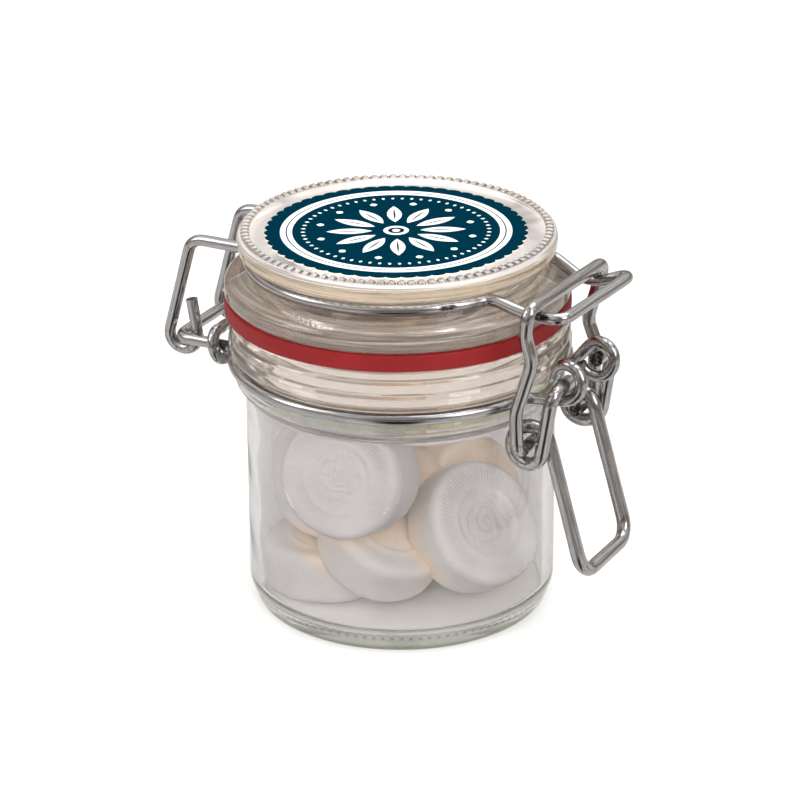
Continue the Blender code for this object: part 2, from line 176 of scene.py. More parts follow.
FAR_BAIL_BENDS = ((33.6, 53.0, 4.0), (31.9, 57.0, 4.0))
HOOK_END = 8.7 * MM
NOSE_HALF = 12.6 * MM
NOSE_X = 41.9 * MM
NOSE_Z = 69.2 * MM
NOSE_SKEW = 1.5 * MM
NOSE_TILT = 0.6 * MM
SADDLE_BEND = 6.0 * MM

# Where pliers gripped the wires: (place, direction, depth, length)
LID_WIRE_MARKS = (
    ((20.5 * MM, -20.0 * MM, LID_WIRE_Z), (0.6, -0.9, 0.35), 0.22 * MM, 1.5 * MM),
    ((36.5 * MM, -NOSE_HALF, 68.4 * MM), (0.2, -1.0, 0.5), 0.2 * MM, 1.4 * MM),
)
NECK_WIRE_MARKS = (
    ((30.0 * MM, -12.0 * MM, NECK_WIRE_Z), (0.6, -0.9, 0.5), 0.25 * MM, 1.2 * MM),
    ((33.5 * MM, EYE_HALF, NECK_WIRE_Z + 1.6 * MM), (0.1, -0.8, 0.7), 0.3 * MM, 1.2 * MM),
)

# Mints. The relief of their faces is (distance from the middle, spread, height), with the
# distances in radii. The two mints at the back, and the core, are tinted warm tan as painted shade.
MINT_RADIUS = 12.4 * MM
MINT_HALF = 5.2 * MM
MINT_FLAT = 0.83
MINT_STEPS = 144
MINT_RING = (0.56, 0.05, 0.3 * MM)
MINT_MOAT = (0.49, 0.05, 0.12 * MM)
MINT_CURL = (0.2, 0.18, 0.2 * MM)
MINT_DISH = 0.2 * MM
BACK_SHADED_MINTS = (5, 6)
CORE_SIZE = (9.0 * MM, 9.0 * MM, 12.0 * MM)
CORE_Z = 20.0 * MM

# Camera. The focal length and the centre are in pixels of the picture.
CAMERA_HEADING = math.radians(28.0)
CAMERA_RISE = math.radians(23.55)
CAMERA_DISTANCE = 0.7
CAMERA_TARGET = Vector((0.0, 0.0, 35 * MM))
CAMERA_ROLL = math.radians(-0.45)
PICTURE = 800
FOCAL_PIXELS = 3600
CENTRE_PIXEL = (400.85, 424.8)
SENSOR = 36

# Floor, a plain disc
FLOOR_RADIUS = 6.0
FLOOR_SIDES = 64
FLOOR_Z = -0.02 * MM

# Bands of the glass from the base up: (low, high, tint, clearness), with soft changes between
JAR_BANDS = (
    (-1.0 * MM, 0.6 * MM, (0.36, 0.39, 0.30), 0.9),
    (1.8 * MM, 4.0 * MM, (0.97, 0.955, 0.95), 0.1),
    (4.8 * MM, 46.8 * MM, (0.64, 0.625, 0.625), 0.96),
    (47.4 * MM, 49.4 * MM, (0.44, 0.48, 0.38), 0.82),
    (50.0 * MM, 64.0 * MM, (0.84, 0.75, 0.69), 0.93),
)
LID_BANDS = (
    (62.0 * MM, 66.0 * MM, (0.55, 0.48, 0.43), 0.82),
    (67.0 * MM, 69.6 * MM, (0.62, 0.54, 0.48), 0.82),
    # The cloudy cream of the lid's side and the cloudy white of the ledge next to the label are painted
    # light: they stand in for the lit underside of the label and the bright studio seen through the
    # glass.
    (70.6 * MM, 74.6 * MM, (0.96, 0.82, 0.65), 0.73),
    (74.9 * MM, 75.5 * MM, (0.97, 0.93, 0.925), 0.6),
    (75.65 * MM, 77.0 * MM, (0.95, 0.91, 0.90), 0.7),
)

# Below this height the jar's glass is hazy only within this radius, in the middle of its base
JAR_HAZE = (26.5 * MM, 4.8 * MM)

# Grooves between the beads: (how many, lowest, highest, tint). All lie outside one radius. The dark tint
# is painted shade in the grooves.
HEEL_GROOVES = (HEEL_BEADS, 3.0 * MM, 3.6 * MM, (0.52, 0.52, 0.48))
LID_GROOVES = (RIDGE_BEADS, LID_TOP_Z + 0.1 * MM, 77.0 * MM, (0.13, 0.09, 0.085))
GROOVE_INSIDE = 27.8 * MM

# The glass seen by lamps, and the colour that thick glass takes on
LAMP_TINT = (0.96, 0.95, 0.945)
THICK_TINT = (0.80, 0.85, 0.62)

# The studio: its colours from straight down (0) to straight up (1), and the heading of its
# dark side, where the photographer stands
SKY = (
    (0.0, (0.95, 0.93, 0.91)),
    (0.45, (0.9, 0.87, 0.84)),
    (0.5, (0.30, 0.255, 0.2)),
    (0.56, (0.40, 0.35, 0.29)),
    (0.66, (0.62, 0.58, 0.53)),
    (0.75, (0.95, 0.94, 0.93)),
    (1.0, (1.0, 1.0, 1.0)),
)
SKY_STRENGTH = 0.8
LIGHT_TARGET = Vector((0, 0, 0.03))
DARK_SIDE = (0.47, -0.883, 0.0)


def arc_points(centre, radius, start, end, count):
    """Points on an arc in a plane, from one angle to another, both ends included."""
    turn = [start + (end - start) * i / count for i in range(count + 1)]
    return [(centre[0] + radius * math.cos(a), centre[1] + radius * math.sin(a)) for a in turn]


def rounded(corners, bend_step=BEND_STEP):
    """A polyline with its corners rounded. Each corner is (point, bend radius)."""
    points = [Vector(corners[0][0])]
    for i in range(1, len(corners) - 1):
        before = Vector(corners[i - 1][0])
        here = Vector(corners[i][0])
        after = Vector(corners[i + 1][0])
        into = (here - before).normalized()
        out = (after - here).normalized()
        angle = into.angle(out)
        if angle < 0.01 or corners[i][1] == 0:
            points.append(here)
            continue
        room = 0.49 * min((here - before).length, (after - here).length)
        radius = min(corners[i][1], room / math.tan(angle / 2))
        start = here - into * radius * math.tan(angle / 2)
        inward = (out - into * into.dot(out)).normalized()
        centre = start + inward * radius
        count = max(2, round(angle / bend_step))
        for k in range(count + 1):
            turn = angle * k / count
            points.append(centre + (into * math.sin(turn) - inward * math.cos(turn)) * radius)
    points.append(Vector(corners[-1][0]))
    return points


def new_object(name, mesh, finish=None):
    """A mesh object in the scene, with its material if it has just one."""
    obj = bpy.data.objects.new(name, mesh)
    bpy.context.scene.collection.objects.link(obj)
    if finish:
        mesh.materials.append(finish)
    return obj


def add_piece(name, mesh, finish, slot, *nodes):
    """A piece of the part that stands for CAD nodes."""
    obj = new_object(name, mesh, finish)
    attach(obj, "root")
    if nodes:
        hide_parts(*nodes)
    return obj


def corners_of(rows):
    """Corners (radius, z, rounding) of a turned outline, in metres.

    A row is a radius and a change to it in millimetres, a height and a change to it in
    millimetres, and the rounding in millimetres.
    """
    return [(r + wider * MM, z + up * MM, bend * MM) for r, wider, z, up, bend in rows]


def profile_of(corners, longest=2.5 * MM, ends=0.25 * MM):
    """Points of a turned outline, from its corners.

    Long straight runs get extra points, close to both ends, so that they shade flat.
    """
    line = rounded([((r, 0.0, z), bend) for r, z, bend in corners], math.radians(15))
    points = [line[0]]
    for here, there in zip(line, line[1:]):
        length = (there - here).length
        if length < 1e-7:
            continue
        if length > 4 * ends:
            inner = max(1, math.ceil((length - 2 * ends) / longest))
            shares = [ends + (length - 2 * ends) * k / inner for k in range(inner + 1)]
            points += [here.lerp(there, share / length) for share in shares]
        points.append(there)
    return [(max(p.x, 0.0), p.z) for p in points]


def quads_between(index):
    """Quads between each row of point numbers and the next. The rows close into rings."""
    first = index[:-1]
    second = index[1:]
    quads = np.stack([first, second, np.roll(second, -1, 1), np.roll(first, -1, 1)], axis=-1)
    return quads.reshape(-1, 4)


def turned_grid(outline, steps):
    """The radius, the height and the angle of each point of a turned outline, as grids."""
    outline = np.array(outline)
    angles = np.arange(steps) * 2 * math.pi / steps
    radius = np.repeat(outline[:, 0:1], steps, axis=1)
    height = np.repeat(outline[:, 1:2], steps, axis=1)
    return radius, height, np.repeat(angles[None, :], len(outline), axis=0)


def lathe(name, profile, steps, centre_x=0.0, shape=None, closed=False):
    """Turns (radius, z) points round a vertical axis. shape moves the rings' points."""
    radius, height, turn = turned_grid(profile, steps)
    if shape:
        radius, height = shape(radius, height, turn)
    coords = np.stack([centre_x + radius * np.cos(turn), radius * np.sin(turn), height], axis=-1)
    index = np.arange(radius.size).reshape(radius.shape)
    if closed:
        index = np.vstack([index, index[:1]])
    mesh = bpy.data.meshes.new(name)
    mesh.from_pydata(coords.reshape(-1, 3).tolist(), [], quads_between(index).tolist())
    clean_mesh(mesh)
    return mesh


def clean_mesh(mesh):
    """Merges the points on the axis, turns the faces outwards and shades them smooth."""
    bm = bmesh.new()
    bm.from_mesh(mesh)
    bmesh.ops.remove_doubles(bm, verts=bm.verts, dist=1e-6)
    bmesh.ops.dissolve_degenerate(bm, edges=bm.edges, dist=1e-7)
    bmesh.ops.recalc_face_normals(bm, faces=bm.faces)
    bm.to_mesh(mesh)
    bm.free()
    mesh.shade_smooth()


def window(value, centre, spread):
    """1 at the centre, falling smoothly to 0 at the spread on both sides."""
    share = np.clip(1 - np.abs(value - centre) / spread, 0, 1)
    return share * share * (3 - 2 * share)


def jar_corners():
    """The jar's outline, from the middle of its inner floor, up, over and down to its base."""
    inner = BODY_RADIUS - WALL
    groove = NECK_RING_RADIUS - RING_WIRE / 2 - GROOVE_PLAY
    bead_z = SHOULDER_Z + BEAD_RISE
    foot = BODY_RADIUS - HEEL_RADIUS
    return corners_of([
        (0, 0, BASE_THICKNESS, 0.2, 0),
        (inner * 0.6, 0, BASE_THICKNESS, 0, 8),
        (inner, 0, BASE_THICKNESS, -0.3, 2.2),
        (inner, 0, SHOULDER_Z, 1.0, 2),
        (inner, -0.4, NECK_WIRE_Z, -1.5, 2),
        (MOUTH_RADIUS, 0.6, NECK_WIRE_Z, 3.0, 3),
        (MOUTH_RADIUS, 0, NECK_TOP_Z, -0.8, 1),
        (MOUTH_RADIUS, 0.8, NECK_TOP_Z, 0, 0.5),
        (NECK_RADIUS, -0.4, NECK_TOP_Z, 0, 0.8),
        (NECK_RADIUS, -0.45, NECK_TOP_Z, -1.6, 0.5),
        (NECK_RADIUS, -0.75, NECK_TOP_Z, -2.1, 0.25),
        (NECK_RADIUS, -0.35, NECK_TOP_Z, -2.7, 0.5),
        (NECK_RADIUS, -0.25, NECK_TOP_Z, -4.2, 0.5),
        (NECK_RADIUS, -0.5, NECK_TOP_Z, -4.8, 0.25),
        (NECK_RADIUS, -0.05, NECK_TOP_Z, -5.5, 0.6),
        (NECK_RADIUS, 0, NECK_WIRE_Z, 2.6, 1.2),
        (NECK_RADIUS, -0.9, NECK_WIRE_Z, 1.5, 0.6),
        (groove, 0, NECK_WIRE_Z, 1.1, 0.5),
        (groove, 0, NECK_WIRE_Z, -1.1, 0.8),
        (BEAD_RADIUS, -0.2, bead_z, 0.9, 0.8),
        (BEAD_RADIUS, 0, bead_z, -0.3, 0.8),
        (BEAD_RADIUS, -0.7, bead_z, -1.3, 0.9),
        (BODY_RADIUS, 0, SHOULDER_Z, -0.4, 1.2),
        (BODY_RADIUS, 0, HEEL_RADIUS, 0.6, 4),
        (BODY_RADIUS, -0.7, HEEL_BEAD_Z, -0.7, 2),
        (foot, 2.2, 0, 0, 1.5),
        (foot, 0, 0, 0, 1.5),
        (foot, -1.6, 0, 0.45, 1.5),
        (0, 0, 0, 0.9, 0),
    ])


def waves(turn, height, seed):
    """Slow uneven waves over a turned surface, about -1 to 1."""
    total = np.zeros_like(turn)
    chooser = random.Random(seed)
    for _ in range(7):
        lobes = chooser.randint(2, 11)
        pitch = chooser.uniform(150, 700)
        phase = chooser.uniform(0, 2 * math.pi)
        total = total + np.sin(turn * lobes + height * pitch + phase)
    return total / 3.5


def jar_shape(radius, height, turn):
    """Heel beads, and the faint unevenness of pressed glass."""
    inside = radius < BODY_RADIUS - WALL / 2
    wall = radius > 0.75 * (BODY_RADIUS - WALL)
    neck = height > SHOULDER_Z
    swing = np.where(neck, 0.03 * MM, 0.012 * MM) * wall * waves(turn, height, 3)
    thinner = 0.07 * MM * wall * (1 + waves(turn, height, 3) / 2)
    beads = np.abs(np.sin(turn * HEEL_BEADS / 2)) ** 1.5
    at_heel = window(height, HEEL_BEAD_Z, HEEL_BEAD_SPREAD) * (radius > BODY_RADIUS - 2 * MM)
    push = HEEL_BEAD_HEIGHT * (beads - 1.0) * at_heel
    return radius + push + np.where(inside & ~neck, thinner, swing), height


def make_jar(glass):
    profile = profile_of(jar_corners())
    mesh = lathe("jar_glass", profile, HEEL_BEADS * HEEL_BEAD_STEPS, shape=jar_shape)
    add_piece("jar_glass", mesh, glass, "glass", "jar")


def lid_corners():
    """The lid's outline, from the middle of its top, out, down and back under it."""
    face_z = LABEL_BOTTOM_Z + LABEL_SINK
    flange_top = LID_BOTTOM_Z + FLANGE_HEIGHT
    groove = LID_RING_RADIUS - RING_WIRE / 2 - GROOVE_PLAY
    under = LID_TOP_Z - LID_THICKNESS
    plug = MOUTH_RADIUS - PLUG_PLAY
    plug_bottom = LID_BOTTOM_Z - PLUG_DEPTH
    return corners_of([
        (0, 0, face_z, 0, 0),
        (RIDGE_RADIUS, -0.95, face_z, 0, 0.2),
        (RIDGE_RADIUS, -0.65, LID_TOP_Z + RIDGE_HEIGHT * 0.85, 0, 0.3),
        (RIDGE_RADIUS, 0, LID_TOP_Z + RIDGE_HEIGHT, 0, 0.5),
        (RIDGE_RADIUS, 0.55, LID_TOP_Z + RIDGE_HEIGHT * 0.7, 0, 0.3),
        (RIDGE_RADIUS, 0.85, LID_TOP_Z, -0.15, 0.2),
        (LID_RADIUS, -0.25, LID_TOP_Z, -0.3, 0.6),
        (LID_RADIUS, 0, LID_TOP_Z, -1.2, 0.8),
        (LID_RADIUS, -0.15, LID_WIRE_Z, 2.4, 0.8),
        (LID_RADIUS, -1.2, LID_WIRE_Z, 1.5, 0.6),
        (groove, 0, LID_WIRE_Z, 1.1, 0.6),
        (groove, 0, LID_WIRE_Z, -1.0, 1.2),
        (groove, 1.8, LID_WIRE_Z, -1.9, 2),
        (FLANGE_RADIUS, -0.9, flange_top, 0, 1.2),
        (FLANGE_RADIUS, 0, flange_top, -0.9, 0.8),
        (FLANGE_RADIUS, 0, LID_BOTTOM_Z, 0.7, 0.8),
        (FLANGE_RADIUS, -0.7, LID_BOTTOM_Z, 0, 0.5),
        (plug, 0.4, LID_BOTTOM_Z, 0, 0.4),
        (plug, 0, LID_BOTTOM_Z, -1.2, 0.5),
        (plug, -0.4, plug_bottom, 0, 0.4),
        (LID_HOLLOW_RADIUS, 0, plug_bottom, 0, 0.6),
        (LID_HOLLOW_RADIUS, -0.5, under, -2.0, 1.5),
        (LID_HOLLOW_RADIUS, -3.0, under, 0, 2.5),
        (0, 0, under, 0, 0),
    ])


def lid_shape(radius, height, turn):
    """The beads of the rim, and faint unevenness."""
    beads = np.abs(np.sin(turn * RIDGE_BEADS / 2)) ** 0.7
    above = np.clip(height - LID_TOP_Z + 0.1 * MM, 0, None)
    drop = above * (1.0 - beads) * (np.abs(radius - RIDGE_RADIUS) < 1.0 * MM)
    wall = radius > 0.75 * LID_HOLLOW_RADIUS
    swing = np.where(wall, 0.05 * MM, 0.0)
    return radius + swing * waves(turn, height * 1.6, 11) * 0.6, height - drop


def make_lid(glass):
    profile = profile_of(lid_corners(), longest=3 * MM)
    mesh = lathe("lid_glass", profile, RIDGE_BEADS * RIDGE_BEAD_STEPS, LID_SHIFT, lid_shape)
    add_piece("lid_glass", mesh, glass, "glass", "lid")


def make_seal(rubber):
    inner = MOUTH_RADIUS + SEAL_INSET
    edge = SEAL_RADIUS - 0.1 * MM
    corners = [
        (inner, SEAL_TOP_Z, 0),
        (edge, SEAL_TOP_Z, 0.35 * MM),
        (SEAL_RADIUS, (SEAL_TOP_Z + SEAL_BOTTOM_Z) / 2, 3 * MM),
        (edge, SEAL_BOTTOM_Z, 0.35 * MM),
        (inner, SEAL_BOTTOM_Z, 0),
    ]

    def shape(radius, height, turn):
        """A slightly uneven outer side."""
        return radius + 0.05 * MM * waves(turn, height * 0, 5) * (radius > inner + 1 * MM), height

    mesh = lathe("seal_rubber", profile_of(corners), SEAL_STEPS, LID_SHIFT, shape, closed=True)
    add_piece("seal_rubber", mesh, rubber, "rubber", "seal")


def disc_with_edge(name, rim, bottom, top):
    """A flat plate between two heights with the given outline of (x, y) points."""
    bm = bmesh.new()
    face = bm.faces.new([bm.verts.new((x, y, bottom)) for x, y in rim])
    raised = bmesh.ops.extrude_face_region(bm, geom=[face])
    verts = [item for item in raised["geom"] if isinstance(item, bmesh.types.BMVert)]
    bmesh.ops.translate(bm, verts=verts, vec=(0, 0, top - bottom))
    bmesh.ops.recalc_face_normals(bm, faces=bm.faces)
    mesh = bpy.data.meshes.new(name)
    bm.to_mesh(mesh)
    bm.free()
    return mesh


def scallop_rim():
    """The label's outline, as (x, y) points."""
    rim = []
    for i in range(SCALLOPS * POINTS_A_SCALLOP):
        angle = 2 * math.pi * i / (SCALLOPS * POINTS_A_SCALLOP)
        bulge = abs(math.sin(math.pi * i / POINTS_A_SCALLOP)) ** 0.6
        radius = LABEL_RADIUS - SCALLOP_DEPTH * (1.0 - bulge)
        x = LABEL_CENTRE[0] + radius * math.cos(angle)
        rim.append((x, LABEL_CENTRE[1] + radius * math.sin(angle)))
    return rim


def make_label(print_side, back_side):
    top = LABEL_BOTTOM_Z + LABEL_THICKNESS
    mesh = disc_with_edge("label_paper", scallop_rim(), LABEL_BOTTOM_Z, top)
    mesh.materials.append(print_side)
    mesh.materials.append(back_side)
    for face in mesh.polygons:
        face.material_index = 0 if face.normal.z > 0.5 else 1
    add_piece("label_paper", mesh, None, "paper", "label")


def on_side(points, side):
    """Points worked out for the -Y side, moved to the side asked for: -1 or 1."""
    return [Vector((p.x, -side * p.y, p.z)) for p in points]


def ring_side(radius, hinge_half, clasp_half, bend, z, centre_x=0.0):
    """The -Y side of a wire ring, from the run at the hinge to the run at the clasp.

    At both ends the ring bends outwards, round a circle that touches the ring and the
    straight run beside the XZ plane.
    """
    hinge_x = math.sqrt((radius + bend) ** 2 - (hinge_half + bend) ** 2)
    clasp_x = math.sqrt((radius + bend) ** 2 - (clasp_half + bend) ** 2)
    hinge_angle = math.atan2(-hinge_half - bend, -hinge_x)
    clasp_angle = math.atan2(-clasp_half - bend, clasp_x)
    quarter = math.pi / 2
    bend_count = max(4, round((quarter - abs(clasp_angle)) / BEND_STEP))
    ring_count = round((clasp_angle - hinge_angle) / ARC_STEP)
    flat = arc_points((-hinge_x, -hinge_half - bend), bend, quarter, hinge_angle + math.pi, bend_count)
    flat += arc_points((0, 0), radius, hinge_angle, clasp_angle, ring_count)[1:-1]
    flat += arc_points((clasp_x, -clasp_half - bend), bend, clasp_angle + math.pi, quarter, bend_count)
    return [Vector((centre_x + x, y, z)) for x, y in flat]


def lid_wire_side(side):
    """From the hooked foot of a leg, round the lid to the middle of the nose."""
    def on_leg(x, z):
        return (x, -LEG_HALF, z)

    leg = rounded([
        (on_leg(*STUB_TOP), 0.0),
        (on_leg(STUB_FOOT_X, LEG_FOOT_Z), LEG_BEND),
        (on_leg(LEG_FOOT_X, LEG_FOOT_Z), LEG_BEND),
        (on_leg(LEG_TOP_X, LID_WIRE_Z), LEG_BEND),
        (on_leg(-LID_RING_RADIUS, LID_WIRE_Z), 0.0),
    ])[:-1]
    ring = ring_side(LID_RING_RADIUS, LEG_HALF, NOSE_HALF, RUN_BEND, LID_WIRE_Z, LID_SHIFT)
    bail_z = BAIL_BAR_Z - side * BAIL_BAR_TILT
    saddle_z = bail_z - (BAIL_WIRE + RING_WIRE) / 2 - GAP
    nose = rounded([
        ((ring[-1].x, -NOSE_HALF, LID_WIRE_Z), 0.0),
        ((BAIL_BAR_X - 3.6 * MM, -NOSE_HALF, saddle_z + 0.4 * MM), SADDLE_BEND),
        ((BAIL_BAR_X + 0.4 * MM, -NOSE_HALF, saddle_z), SADDLE_BEND),
        ((NOSE_X + side * NOSE_SKEW, -NOSE_HALF, NOSE_Z + side * NOSE_TILT), LEG_BEND),
        ((NOSE_X, 0.0, NOSE_Z), 0.0),
    ])[1:]
    return on_side(leg + ring + nose, side)


def coil(x, z, radius, turn, count, start_y, end_y):
    """Points of a turn of wire about a level axis, from one angle in degrees to another."""
    points = []
    for i in range(count + 1):
        share = i / count
        angle = math.radians(turn[0] + (turn[1] - turn[0]) * share)
        y = start_y + (end_y - start_y) * share
        points.append(Vector((x + radius * math.cos(angle), y, z + radius * math.sin(angle))))
    return points


def neck_wire_side(side):
    """From the cut end of an eye, round the neck to the middle of the hinge bar."""
    ring = ring_side(NECK_RING_RADIUS, HINGE_HALF, EYE_HALF, RUN_BEND, NECK_WIRE_Z)
    hinge = rounded([
        ((ring[0].x, -HINGE_HALF, NECK_WIRE_Z), 0.0),
        ((HINGE_BAR_X, -HINGE_HALF, NECK_WIRE_Z), HINGE_BEND),
        ((HINGE_BAR_X, 0.0, NECK_WIRE_Z), 0.0),
    ])[1:]
    if side < 0:
        turn = NEAR_EYE_TURN
        count = NEAR_EYE_STEPS
        run = ring[::-1]
    else:
        turn = FAR_EYE_TURN
        count = FAR_EYE_STEPS
        run = [Vector((FAR_RUN_END[0], -EYE_HALF, FAR_RUN_END[1]))] + ring[-4::-1]
    eye_z = EYE_Z - side * EYE_TILT
    eye = coil(EYE_X, eye_z, EYE_RADIUS, turn, count, EYE_SIDEWAYS - EYE_HALF, -EYE_HALF)
    return on_side(eye + run + hinge, side)


def back_wire_side(side):
    """From the end under a hinge run, round it and over it, to behind the neck."""
    behind_x = -(NECK_RADIUS + RING_WIRE / 2 + GAP)
    turn = [math.radians(degrees) for degrees in CURL_TURN]
    curl = arc_points((-HINGE_HALF, CURL_Z), CURL_RADIUS, *turn, CURL_STEPS)
    points = [Vector((CURL_X + 0.3 * MM, -HINGE_HALF + 3.4 * MM, NECK_WIRE_Z - 3.2 * MM))]
    points += [Vector((CURL_X - CURL_SLANT * (z - NECK_WIRE_Z), y, z)) for y, z in curl]
    points += [
        Vector((behind_x - 0.3 * MM, -HINGE_HALF + 4.5 * MM, NECK_WIRE_Z + 2.2 * MM)),
        Vector((behind_x, -HINGE_HALF + 8.5 * MM, NECK_WIRE_Z + 1.7 * MM)),
    ]
    return on_side(points, side)


def lever_side(side):
    """From the pin in an eye, round the loop and down to the middle of the handle."""
    loop_z = LOOP_Z - side * LOOP_TILT
    inner_y = LOOP_SIDEWAYS - LOOP_OUTER
    loop = coil(LOOP_X, loop_z, LOOP_RADIUS, LOOP_TURN, LOOP_STEPS, -LOOP_OUTER, inner_y)
    pin = rounded([
        ((EYE_X, -PIN_END, EYE_Z), 0.0),
        ((EYE_X, -LOOP_OUTER, EYE_Z), PIN_BEND),
        (loop[0], 0.0),
    ])[:-1]
    handle = rounded([
        (loop[-1], 0.0),
        ((HANDLE_X, loop[-1].y, HANDLE_Z), HANDLE_BEND),
        ((HANDLE_X, 0.0, HANDLE_Z), 0.0),
    ])[1:]
    return on_side(pin + loop + handle, side)


def bail_side(side, bends):
    """One side of the bail, from its hook to its bar. Bends are (x, z, bend radius)."""
    hook_z = LOOP_Z - side * LOOP_TILT
    corners = [
        ((LOOP_X, -HOOK_END, hook_z), 0.0),
        ((LOOP_X, -BAIL_HALF, hook_z), PIN_BEND),
    ]
    corners += [((x * MM, -BAIL_HALF, z * MM), radius * MM) for x, z, radius in bends]
    corners += [
        ((BAIL_BAR_X, -BAIL_HALF, BAIL_BAR_Z - side * BAIL_BAR_TILT), BAIL_BEND),
        ((BAIL_BAR_X, 0.0, BAIL_BAR_Z), 0.0),
    ]
    return on_side(rounded(corners), side)


def even_line(points):
    """The line through the points again, with even spacing and softened kinks."""
    line = np.array([tuple(p) for p in points])
    keep = np.concatenate([[True], np.linalg.norm(np.diff(line, axis=0), axis=1) > 1e-7])
    line = line[keep]
    length = np.concatenate([[0], np.cumsum(np.linalg.norm(np.diff(line, axis=0), axis=1))])
    count = max(8, round(length[-1] / TUBE_STEP))
    at = np.linspace(0, length[-1], count + 1)
    even = np.stack([np.interp(at, length, line[:, k]) for k in range(3)], axis=-1)
    for _ in range(TUBE_SMOOTHING):
        even[1:-1] = 0.5 * even[1:-1] + 0.25 * (even[:-2] + even[2:])
    return even


def cross_directions(along):
    """Two directions square to a line at each of its points, which twist as little as may be."""
    across = np.zeros_like(along)
    start = np.cross(along[0], (0.31, 0.17, 0.93))
    across[0] = start / np.linalg.norm(start)
    for i in range(1, len(along)):
        moved = across[i - 1] - along[i] * across[i - 1].dot(along[i])
        across[i] = moved / np.linalg.norm(moved)
    return across, np.cross(along, across)


def pinched(offset, line, half, marks):
    """The offsets of a wire's side from its line, flattened at the marks, and how worn each is."""
    worn = np.zeros(offset.shape[:2])
    for place, direction, depth, length in marks:
        inward = np.array(direction) / np.linalg.norm(direction)
        near = np.exp(-((np.linalg.norm(line - np.array(place), axis=1) / length) ** 4))
        excess = np.clip(offset @ inward - (half - depth), 0, None) * near[:, None]
        offset = offset - excess[..., None] * inward
        worn = np.maximum(worn, np.clip(excess / (depth * 0.4), 0, 1))
    return offset, worn


def tube(name, points, diameter, seed, marks=()):
    """A drawn wire along the points, with cut ends, as a mesh.

    The flow attribute runs along and round the wire, for streaks. The worn attribute is 1 at
    the marks and the cut ends, and bent is 1 in tight bends.
    """
    line = even_line(points)
    count = len(line)
    along = np.gradient(line, axis=0)
    along /= np.linalg.norm(along, axis=1)[:, None]
    across, third = cross_directions(along)
    turn = np.arange(TUBE_SIDES) * 2 * math.pi / TUBE_SIDES
    outward = across[:, None] * np.cos(turn)[None, :, None] + third[:, None] * np.sin(turn)[None, :, None]
    distance = np.arange(count) * np.linalg.norm(line[1] - line[0])
    chooser = random.Random(seed)
    wander = sum(
        np.sin(distance * chooser.uniform(120, 900) + chooser.uniform(0, 6)) for _ in range(4)
    )
    radius = diameter / 2 * (1 + 0.006 * wander)
    offset, worn = pinched(outward * radius[:, None, None], line, diameter / 2, marks)
    coords = line[:, None] + offset
    tight = np.linalg.norm(np.gradient(along, axis=0), axis=1) / TUBE_STEP
    bent = np.clip(tight * 2.5 * MM, 0, 1)
    ends = end_rings(coords, line, along, diameter)
    rings = np.concatenate([ends[0], coords, ends[1]])
    pad = len(ends[0])
    flow = np.stack([
        np.broadcast_to(np.cos(turn), (count, TUBE_SIDES)),
        np.broadcast_to(np.sin(turn), (count, TUBE_SIDES)),
        np.repeat((distance / diameter)[:, None], TUBE_SIDES, 1),
    ], axis=-1)
    flow = np.concatenate([flow[:1].repeat(pad, 0), flow, flow[-1:].repeat(pad, 0)])
    worn = np.concatenate([np.ones((pad, TUBE_SIDES)), worn, np.ones((pad, TUBE_SIDES))])
    bends = np.repeat(np.concatenate([[0] * pad, bent, [0] * pad])[:, None], TUBE_SIDES, 1)
    mesh = bpy.data.meshes.new(name)
    index = np.arange(len(rings) * TUBE_SIDES).reshape(len(rings), TUBE_SIDES)
    quads = quads_between(index)[:, [0, 3, 2, 1]].tolist()
    caps = [index[0, ::-1].tolist(), index[-1].tolist()]
    mesh.from_pydata(rings.reshape(-1, 3).tolist(), [], quads + caps)
    add_attribute(mesh, "flow", "FLOAT_VECTOR", flow)
    add_attribute(mesh, "worn", "FLOAT", worn)
    add_attribute(mesh, "bent", "FLOAT", bends)
    mesh.shade_smooth()
    mesh.set_sharp_from_angle(angle=math.radians(60))
    return mesh


def end_rings(coords, line, along, diameter):
    """Rings that make the slightly rounded and dished cut ends of a wire."""
    shrink = (0.42, 0.8, 0.93)
    out = (0.015, 0.03, 0.01)
    sides = []
    for end, sign in ((0, -1), (-1, 1)):
        rings = [
            line[end] + (coords[end] - line[end]) * s + sign * along[end] * o * diameter
            for s, o in zip(shrink, out)
        ]
        sides.append(np.array(rings if end == 0 else rings[::-1]))
    return sides


def add_attribute(mesh, name, kind, values):
    """Puts a value for each point on the mesh, for its material."""
    made = mesh.attributes.new(name, kind, "POINT")
    key = "vector" if kind == "FLOAT_VECTOR" else "value"
    made.data.foreach_set(key, np.asarray(values, dtype=np.float32).ravel())


def make_wires(steel):
    def add(node, near, far, diameter, seed, marks=()):
        """One wire, from its two sides, which both end in the middle."""
        mesh = tube(node + "_steel", near + far[::-1], diameter, seed, marks)
        add_piece(node + "_steel", mesh, steel, "steel", node)

    add("lid_wire", lid_wire_side(-1), lid_wire_side(1), RING_WIRE, 1, LID_WIRE_MARKS)
    add("neck_wire", neck_wire_side(-1), neck_wire_side(1), RING_WIRE, 2, NECK_WIRE_MARKS)
    add("back_wire", back_wire_side(-1), back_wire_side(1), RING_WIRE, 3)
    add("lever", lever_side(-1), lever_side(1), LEVER_WIRE, 4)
    add("bail", bail_side(-1, NEAR_BAIL_BENDS), bail_side(1, FAR_BAIL_BENDS), BAIL_WIRE, 5)


def polar(degrees, radius, height):
    """A place in the jar, from its direction seen from above and millimetres."""
    angle = math.radians(degrees)
    return Vector((radius * math.cos(angle), radius * math.sin(angle), height)) * MM


def facing(degrees, tilt):
    """A direction from its heading seen from above and its angle above the horizontal."""
    angle = math.radians(degrees)
    rise = math.radians(tilt)
    return Vector((math.cos(rise) * math.cos(angle), math.cos(rise) * math.sin(angle), math.sin(rise)))


